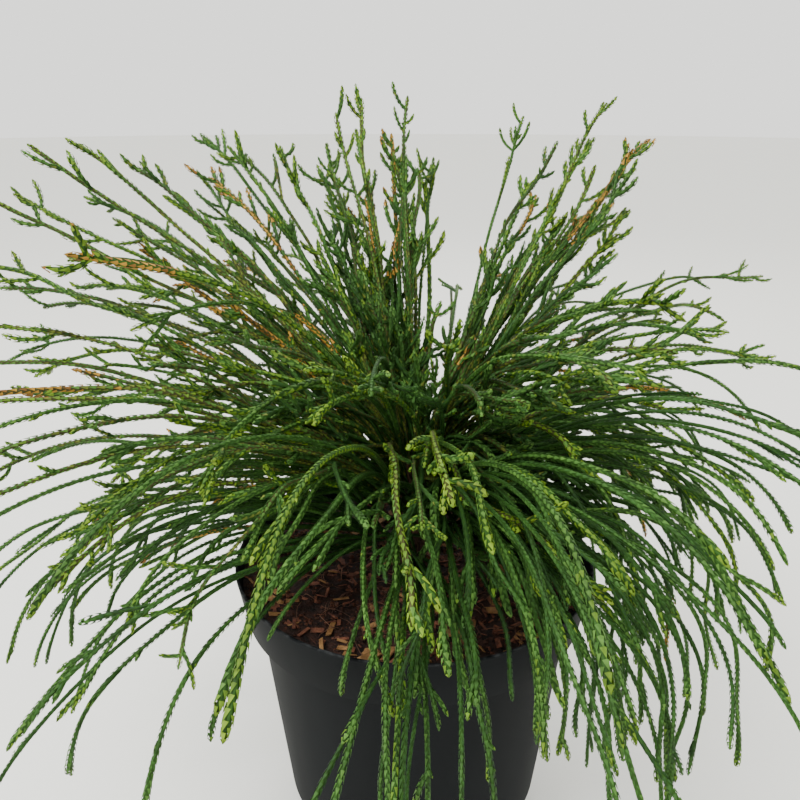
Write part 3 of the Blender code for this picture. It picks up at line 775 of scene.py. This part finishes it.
# side cords and stubs: where along the cord from and to, and their least and most number
sideHabits = {
    "upright": {"reach": (0.009, 0.028), "angles": (26, 66), "pull": 0.8,
                "places": ((0.84, 0.98, 2, 6), (0.55, 0.84, 0, 3)), "stubs": (0.35, 0.97, 2, 7)},
    "hanging": {"reach": (0.006, 0.026), "angles": (14, 30), "pull": 0.6,
                "places": ((0.68, 0.97, 0, 3),), "stubs": (0.50, 0.95, 0, 3)},
}
stub = {"length": (0.0022, 0.0055), "angles": (25, 50), "pull": 0.2}
greens = {  # base colours from the oldest scales to the newest tips
    "Deep": (0.0137, 0.0424, 0.0097), "Shade": (0.0189, 0.0562, 0.0119),
    "Dark": (0.0263, 0.0732, 0.0150), "Moss": (0.0355, 0.0923, 0.0175),
    "Green": (0.0480, 0.1157, 0.0207), "Leaf": (0.0641, 0.1422, 0.0242),
    "Grass": (0.0840, 0.1600, 0.0135), "Bright": (0.1040, 0.1820, 0.0135),
    "Fresh": (0.1240, 0.2020, 0.0140), "Lime": (0.1400, 0.2160, 0.0155),
}
tones = {**greens, "Olive": (0.1000, 0.1280, 0.0190), "Bronze": (0.2900, 0.1580, 0.0230),
         "Rust": (0.1650, 0.0800, 0.0190)}
cores = {"Sap": (0.0200, 0.0580, 0.0075), "Twig": (0.0420, 0.0440, 0.0125)}


class Path:  # a smooth line with two axes across it, read at any length along it
    def __init__(self, points, heading):
        tail = points[-1] + (points[-1] - points[-2]) * 0.5
        points = np.vstack([points, tail])
        runs = np.linalg.norm(np.diff(points, axis=0), axis=1)
        self.at = np.concatenate([[0.0], np.cumsum(runs)])
        self.length = self.at[-2]
        along = np.gradient(points, self.at, axis=0)
        along /= np.linalg.norm(along, axis=1)[:, None]
        a = math.radians(heading)
        flat = np.array([-math.sin(a), math.cos(a), 0.0])
        side = flat - along * (along @ flat)[:, None]
        side /= np.linalg.norm(side, axis=1)[:, None]
        self.points, self.along, self.side = points, along, side
        self.up = np.cross(along, side)

    def read(self, rows, where):
        return np.stack([np.interp(where, self.at, rows[:, k]) for k in range(3)], axis=-1)

    def around(self, where, radius, angle):
        across = self.read(self.side, where) * np.cos(angle)[..., None]
        across = across + self.read(self.up, where) * np.sin(angle)[..., None]
        return self.read(self.points, where) + across * radius[..., None]

    def tube(self, where, radii, sides):
        turns = np.arange(sides) * math.tau / sides
        grid = self.around(np.repeat(where[:, None], sides, 1),
                           np.repeat(radii[:, None], sides, 1),
                           np.repeat(turns[None, :], len(where), 0))
        rings = grid.reshape(-1, 3)
        k = np.arange(len(where) - 1)[:, None] * sides
        a, b = k + np.arange(sides), k + (np.arange(sides) + 1) % sides
        quads = np.stack([a, b, b + sides, a, b + sides, a + sides], -1).reshape(-1, 3)
        last = (len(where) - 1) * sides
        caps = [[0, j + 1, j] for j in range(1, sides - 1)]
        caps += [[last, last + j, last + j + 1] for j in range(1, sides - 1)]
        return rings, np.vstack([quads, np.array(caps)])


class Heap:  # corners and triangles gathered for one joined piece
    def __init__(self):
        self.corners, self.triangles, self.count = [], [], 0

    def add(self, corners, triangles):
        self.corners.append(corners)
        self.triangles.append(triangles + self.count)
        self.count += len(corners)

    def mesh(self, name):
        return meshFromArrays(name, np.concatenate(self.corners), np.concatenate(self.triangles))


leafFaces = np.array([[0, 2, 3], [2, 1, 3]])  # two halves of a keeled scale


def girthAt(where, length, look):  # how thick a cord is, as a share of its radius
    toTip = np.maximum(length - where, 0.0)
    girth = 0.78 + 0.22 * np.clip(where / 0.030, 0, 1)
    swell = np.clip((0.024 - toTip) / 0.018, 0, 1)
    girth = girth * (1 + look["club"] * swell * swell * (3 - 2 * swell))
    blunt = np.clip(toTip / (3.0 * look["radius"]), 0, 1)
    return girth * (0.06 + 0.94 * np.sqrt(blunt * (2 - blunt)))


def coverCord(heaps, tier, path, look, dice):
    length, radius = path.length, look["radius"]
    pitch = radius * scaleLeaf["pitch"]
    count = max(2, int(length / pitch))
    base = np.linspace(look["bare"] * length, length - 0.8 * pitch, count)
    order = np.arange(count)
    where = np.repeat(base, 2) + dice.normal(0, 0.06 * pitch, 2 * count)
    angle = np.repeat(order * (math.pi / 2) + look["twist"] * order, 2)
    angle = angle + np.tile([0.0, math.pi], count) + dice.normal(0, 0.08, 2 * count)
    share = where / length
    toTip = length - where
    size = radius * dice.uniform(0.96, 1.04, 2 * count)
    reach = np.minimum(pitch * dice.uniform(*scaleLeaf["length"], 2 * count), toTip)
    flare = look["flare"] * dice.uniform(0.95, 1.07, 2 * count)
    flare = 1 + (flare - 1) * np.clip(toTip / (6 * radius), 0, 1)
    half, relief = math.radians(scaleLeaf["halfWidth"]), look["relief"]
    wide = size * girthAt(where + 0.3 * reach, length, look)
    foot, hem = where + scaleLeaf["foot"] * reach, wide * (1 - scaleLeaf["hem"] * relief)
    ridge, keel = where + scaleLeaf["ridge"] * reach, wide * (1 + scaleLeaf["keel"] * relief)
    point = size * girthAt(where + reach, length, look) * flare
    corners = np.stack([path.around(foot, hem, angle - half), path.around(foot, hem, angle + half),
                        path.around(ridge, keel, angle),
                        path.around(where + reach, point, angle)], axis=1)
    tone = look["tone"] + look["rise"] * np.clip((share - 0.30) / 0.70, 0, 1)
    tone += look["tip"] * np.clip(1.3 - toTip / look["tipLength"], 0, 1)
    tone -= look["old"] * np.clip(1 - where / scaleLeaf["oldReach"], 0, 1)
    tone += scaleLeaf["paired"] * (np.repeat(order % 2, 2) - 0.5)
    tone += dice.normal(0, look["mottle"], 2 * count)
    names = np.array([*greens])[np.clip(np.floor(tone), 0, len(greens) - 1).astype(int)]
    if look["olive"] > 0:
        old = dice.random(2 * count) < look["olive"] * np.clip(1.25 - 1.5 * share, 0, 1)
        names = np.where(old, "Olive", names)
    if look["bronze"] > 0:
        dry = share > 1 - look["bronze"] + dice.normal(0, 0.04, 2 * count)
        names = np.where(dry, np.where(dice.random(2 * count) < 0.7, "Bronze", "Rust"), names)
    for name in np.unique(names):
        chosen = corners[names == name]
        faces = leafFaces[None] + 4 * np.arange(len(chosen))[:, None, None]
        heaps[tier, name].add(chosen.reshape(-1, 3), faces.reshape(-1, 3))
    stops = np.linspace(0, length, max(4, int(length / shoot["coreStep"])))
    thick = radius * girthAt(stops, length, look) * shoot["coreShare"]
    rings, faces = path.tube(stops, thick, shoot["coreSides"])
    heaps[tier, "Twig" if look["olive"] > 0.3 else "Sap"].add(rings, faces)


def wiggled(points, heading, dice, amount):
    path = Path(points, heading)
    share = np.linspace(0, 1, len(points))
    moved = points.copy()
    for axes in (path.side, path.up):
        waves = sum(dice.normal() / k * np.sin(math.pi * k * share * dice.uniform(0.8, 2.2)
                                               + dice.uniform(0, math.tau)) for k in (1, 2, 3))
        moved += axes[:-1] * ((waves - waves[0]) * amount * share)[:, None]
    return moved


def bentPath(start, heading, target, pull, length, steps=10):
    points = [np.array(start, float)]
    for k in range(steps):
        share = (k + 0.5) / steps
        now = heading * (1 - pull * share) + target * pull * share
        points.append(points[-1] + now / np.linalg.norm(now) * length / steps)
    return np.array(points)


def lookOf(tier, azimuth, droop, length, dice):
    front = max(0.0, math.cos(math.radians(azimuth - crown["front"])))
    upright = droop < looks["uprightBelow"][tier]
    kind = dice.random()
    look = {"twist": dice.normal(0, 0.04), "bare": 0.03, "club": 0.10, "bronze": 0.0,
            "olive": 0.0, "upright": upright, "mottle": 0.50, "old": 3.0, "relief": 0.8,
            "tipLength": 0.012}
    vigorous = looks["vigorousShare"] + looks["vigorousFront"] * front * (tier != "low")
    sort = looks["vigorous" if kind < vigorous else
                 "ordinary" if kind < looks["slenderFrom"] else "slender"]
    look.update({key: dice.uniform(*sort[key]) for key in ("radius", "flare", "tone")},
                rise=sort["rise"], tip=sort["tip"])
    if upright:
        look.update(club=0.12, olive=dice.choice(looks["oliveShares"]), mottle=0.75, relief=0.9)
        look["radius"] *= 1.12
        look["flare"] *= 1.03
        look["tone"] += 1.0
    else:
        look["radius"] *= 1.08
        if dice.random() < looks["clubChance"]:
            look["club"] = dice.uniform(*looks["club"])
            look["tip"] += 0.8
    inner = max(0.0, min(1.0, (looks["innerLength"] - length) / looks["innerSpan"]))
    look["tone"] -= 1.6 * inner
    look["tip"] *= 1 - 0.8 * inner
    away = math.cos(math.radians(azimuth - looks["greenSide"])) < looks["greenLimit"]
    if dice.random() < looks["bronzeChance"] and away:
        look.update(bronze=dice.uniform(*looks["bronzeShare"]), club=0.0,
                    radius=looks["bronzeRadius"])
    return look


def sideCord(path, look, dice, share, length, angles, pull, hand):
    where = np.array([share * path.length])
    start, along = path.read(path.points, where)[0], path.read(path.along, where)[0]
    side, up = path.read(path.side, where)[0], path.read(path.up, where)[0]
    roll = dice.normal(0, 0.6)
    across = (side * math.cos(roll) + up * math.sin(roll)) * hand
    turn = math.radians(dice.uniform(*angles))
    heading = along * math.cos(turn) + across * math.sin(turn)
    lean = along + np.array([0, 0, dice.uniform(-0.4, 1.6) if look["upright"] else -0.5])
    points = bentPath(start, heading, lean / np.linalg.norm(lean), pull, length)
    azimuth = math.degrees(math.atan2(heading[1], heading[0]))
    child = dict(look, bare=0.0, radius=look["radius"] * dice.uniform(0.95, 1.18),
                 tone=look["tone"] + 0.5 * look["rise"] + dice.normal(0, 0.8), old=0.0,
                 olive=look["olive"] * 0.25, club=0.15, twist=0.0)
    return points, azimuth, child


def spots(dice, start, end, least, most):
    return dice.uniform(start, end, dice.integers(least, most))


def sideCords(path, look, dice):
    sizes = sideHabits["upright" if look["upright"] else "hanging"]
    places = np.concatenate([spots(dice, *row) for row in sizes["places"]])
    stubs = spots(dice, *sizes["stubs"])
    cords = []
    hand = dice.choice([-1, 1])
    for share in np.sort(places):
        hand = -hand
        length = dice.uniform(*sizes["reach"]) * (1.5 - 0.8 * share)
        cords.append(sideCord(path, look, dice, share, length, sizes["angles"],
                              sizes["pull"], hand))
    for share in stubs:
        length = dice.uniform(*stub["length"])
        cords.append(sideCord(path, look, dice, share, length, stub["angles"],
                              stub["pull"], dice.choice([-1, 1])))
    return cords


def inGap(heading):  # the open slot at the back of the top
    return shoot["gap"][0] < heading % 360.0 < shoot["gap"][1]


def drawExtra(rng, tier, index, spread, lengths, onBough):
    foot, tip = boughLine(tier, index)[:2]
    start, heading, lift, length, droop, sway = drawShoot(rng, tier, index, spread)[0]
    part = rng.uniform(*lengths)
    sway = rng.uniform(-shoot["sway"], shoot["sway"])
    if onBough:
        start = foot.lerp(tip, rng.uniform(0.25, 1.0))
        heading += rng.uniform(-shoot["heartTurn"], shoot["heartTurn"])
        lift = min(shoot["steepest"], lift + rng.uniform(*shoot["heartLift"]))
        droop *= rng.uniform(*shoot["heartDroop"])
    else:
        droop *= rng.uniform(*shoot["extraDroop"])
        if rng.random() < shoot["extraOnBough"]:
            start = foot.lerp(tip, rng.uniform(0.6, 1.0))
    heading += rng.uniform(-shoot["turn"], shoot["turn"])
    if tier != "low" and inGap(heading):
        if not onBough:
            return None
        part *= shoot["gapPart"]
    return start, heading, lift, length * part, droop, sway


def drawAcross(rng, tier, index):  # arches across the middle, over its neighbours
    foot, tip = boughLine(tier, index)[:2]
    start = foot.lerp(tip, rng.uniform(0.1, 0.8))
    turn = rng.uniform(*shoot["acrossTurn"]) * rng.choice((-1, 1))
    heading = tiers[tier]["azimuths"][index] + turn
    if inGap(heading):
        return None
    lift, length = rng.uniform(*shoot["acrossLift"]), rng.uniform(*shoot["acrossLength"])
    droop = rng.uniform(*shoot["acrossDroop"])
    sway = rng.uniform(-shoot["acrossSway"], shoot["acrossSway"])
    return start, heading, lift, length, droop, sway


def growMore(draw, count, rng, tier, index, *limits):
    grown = []
    for _ in range(crown["tries"]):
        if len(grown) == count:
            break
        growth = draw(rng, tier, index, *limits)
        if growth and fits(shootPath(*growth, crown["steps"])):
            grown.append((tier, index, growth, None))
    return grown


def fits(points):  # inside the solids' box, and off the pot
    low, high = (np.array(c) for c in cadBounds)
    inside = (points > low - shoot["slack"]) & (points < high + shoot["slack"])
    return bool(inside.all() and clearOfPot(points[1:]).all())


def growCrown():  # the solids' shoots, more between them, and their side cords
    grown = growSolidCrown()
    solids = len(grown)
    for tier in tiers:
        spreads = halfAngles(tier)
        for index, azimuth in enumerate(tiers[tier]["azimuths"]):
            rng = random.Random(f"more {tier} {index}")
            fill = density(azimuth, shoot["fill"][tier])
            extra = round(shoot["extra"][tier] * density(azimuth) * fill)
            heart, across = (round(shoot[kind][tier] * fill) for kind in ("heart", "across"))
            place = (rng, tier, index)
            grown += growMore(drawExtra, extra, *place, spreads[index],
                              shoot["extraLength"][tier], False)
            grown += growMore(drawExtra, heart, *place, spreads[index],
                              shoot["heartLength"], True)
            grown += growMore(drawAcross, across, *place)
    dice = np.random.default_rng(5)
    cords = []
    for tier, index, growth, fork in grown:
        heading, length, droop = growth[1], growth[3], growth[4]
        look = lookOf(tier, heading, droop, length, dice)
        plain = shootPath(*growth, shoot["fineSteps"])
        points = wiggled(plain, heading, dice, shoot["wiggle"])
        if not fits(points):
            points = plain
        cords.append((tier, points, heading, look))
        sides = sideCords(Path(points, heading), look, dice)
        if fork is not None:  # it moves with the point that it leaves
            joint = np.argmin(np.linalg.norm(plain - np.array(fork[0]), axis=1))
            path = shootPath(points[joint], *fork[1:], shoot["forkFineSteps"])
            sides.append((path, fork[1], dict(look, bare=0.0)))
        cords += [(tier, *side) for side in sides if fits(side[0])]
    print("crown:", solids, "shoots of the solids,", len(grown), "in all,", len(cords), "cords")
    return cords


def makeShoots():
    heaps = {(tier, name): Heap() for tier in tiers for name in [*tones, *cores]}
    dice = np.random.default_rng(7)
    for tier, points, heading, look in growCrown():
        coverCord(heaps, tier, Path(points, heading), look, dice)
    total = 0
    for (tier, name), heap in heaps.items():
        if not heap.count:
            continue
        kind = "scales" if name in tones else "cores"
        title = f"{kind}{name}{tier.capitalize()}"
        mesh = heap.mesh(title)
        if name in cores:
            mesh.shade_smooth()
        total += len(mesh.polygons)
        nodes = sorted(n for n in nodeNames if n.startswith(f"shoots_{tier}_"))
        addPiece(title, mesh, paintFoliage(kind, name), nodes)
        print("  ", title, len(mesh.polygons), "triangles")
    print("shoots:", total, "triangles")


def paintFoliage(kind, name):
    title = f"{kind}{name}"
    found = bpy.data.materials.get(title)
    if found:
        return found
    colour = tones.get(name) or cores[name]
    paint = Paint(title)
    patches = 0.5 * paint.speckle(55.0, 2.0) + 0.5 * paint.speckle(420.0, 3.0)
    darker = tuple(c * 0.62 for c in colour)
    lighter = tuple(min(1.0, c * 1.35) for c in colour)
    return paint.finish({
        "Base Color": paint.mix(paint.steps(patches, 0.38, 0.62), darker, lighter),
        "Roughness": 0.50 + 0.14 * patches,
        "Normal": paint.bump(paint.speckle(1300.0, 2.0), 0.00012, 0.5),
        "Specular IOR Level": 0.12})


# camera, floor and light
studio = {
    "camera": (-0.0075, -0.387, 0.397), "pitch": -20.4, "lens": 36.9, "frameSize": 36.0,
    "floor": 9.0, "floorColour": (0.86, 0.86, 0.81), "sky": (1.0, 1.0, 0.965), "skyPower": 1.66,
    # where each light is, how wide and how strong
    "lights": [("keyLight", (-0.8, -0.7, 1.6), 0.9, 40.0),
               ("fillLight", (1.2, -0.9, 0.9), 1.4, 5.0),
               ("backLight", (0.2, 1.3, 1.3), 1.2, 8.0)],
    "aim": (0.0, 0.0, 0.2),
}


def makeStudio():
    camera = placed(bpy.data.objects.new("camera", bpy.data.cameras.new("camera")))
    camera.data.lens, camera.data.sensor_width = studio["lens"], studio["frameSize"]
    camera.data.clip_start = 0.01
    camera.location = studio["camera"]
    camera.rotation_euler = (math.radians(90 + studio["pitch"]), 0.0, 0.0)
    bm = bmesh.new()
    bmesh.ops.create_circle(bm, cap_ends=True, segments=64, radius=studio["floor"])
    floor = placed(bpy.data.objects.new("floor", meshFrom(bm, "floor")))
    paint = Paint("floorPaint")
    floor.data.materials.append(paint.finish({
        "Base Color": rgba(studio["floorColour"]), "Roughness": 0.6}))
    for name, place, size, power in studio["lights"]:
        lamp = placed(bpy.data.objects.new(name, bpy.data.lights.new(name, "AREA")))
        lamp.data.shape, lamp.data.size, lamp.data.energy = "DISK", size, power
        lamp.location = place
        ray = Vector(studio["aim"]) - Vector(place)
        lamp.rotation_euler = ray.to_track_quat("-Z", "Y").to_euler()
    bpy.context.scene.camera = camera
    world = bpy.data.worlds.new("softSky")
    world.use_nodes = True
    shade = world.node_tree.nodes["Background"]
    shade.inputs["Color"].default_value = rgba(studio["sky"])
    shade.inputs["Strength"].default_value = studio["skyPower"]
    bpy.context.scene.world = world
    print("studio: camera, floor and", len(studio["lights"]), "lights")


makeStudio()
makePot()
makeMix()
makeBark()
makeShoots()
